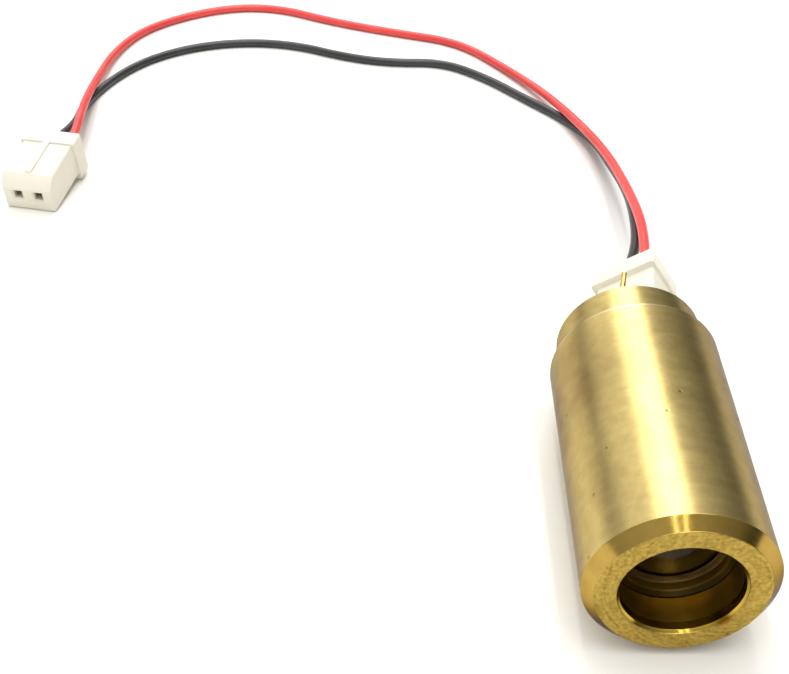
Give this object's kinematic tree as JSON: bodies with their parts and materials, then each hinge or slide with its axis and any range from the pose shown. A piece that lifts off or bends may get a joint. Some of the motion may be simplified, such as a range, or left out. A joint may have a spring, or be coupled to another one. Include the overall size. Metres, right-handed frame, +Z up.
{
  "type": "laser diode module",
  "caption": "Turned brass laser diode module with a collimating lens recessed in its chamfered nose, a diode in its stepped rear, and red and black leads with white plugs.",
  "frame": {"origin": "on the optical axis, at the middle of the barrel's plain clamping length", "axes": "-Y is the way the beam leaves, +Y runs to the rear and the leads, +Z is up, X is across; the table is at z = -6 mm"},
  "size_m": [0.0597, 0.0939, 0.012],
  "materials": {
    "turned_brass": "fine turned",
    "lens_glass": "polished",
    "gilt_steel": "gold plated",
    "diode_steel": "plated",
    "window_glass": "polished",
    "chip_ceramic": "matt ceramic",
    "gilt_pin": "gold plated",
    "seal_glass": "fused",
    "white_nylon": "moulded satin",
    "tinned_contact": "tin plated",
    "red_insulation": "satin",
    "black_insulation": "satin"
  },
  "bodies": {
    "root": {"barrel": "turned_brass", "lens_retaining_ring": "turned_brass", "collimating_lens": "lens_glass", "diode_stem": "gilt_steel", "diode_cap": "diode_steel", "diode_window": "window_glass", "laser_chip": "chip_ceramic", "diode_pin_drive": "gilt_pin", "diode_pin_case": "gilt_pin", "diode_pin_monitor": "gilt_pin", "seal_drive": "seal_glass", "seal_monitor": "seal_glass", "rear_plug_housing": "white_nylon", "rear_contact_red": "tinned_contact", "rear_contact_black": "tinned_contact", "lead_red": "red_insulation", "lead_black": "black_insulation", "end_plug_housing": "white_nylon", "end_contact_red": "tinned_contact", "end_contact_black": "tinned_contact"}
  },
  "joints": []
}
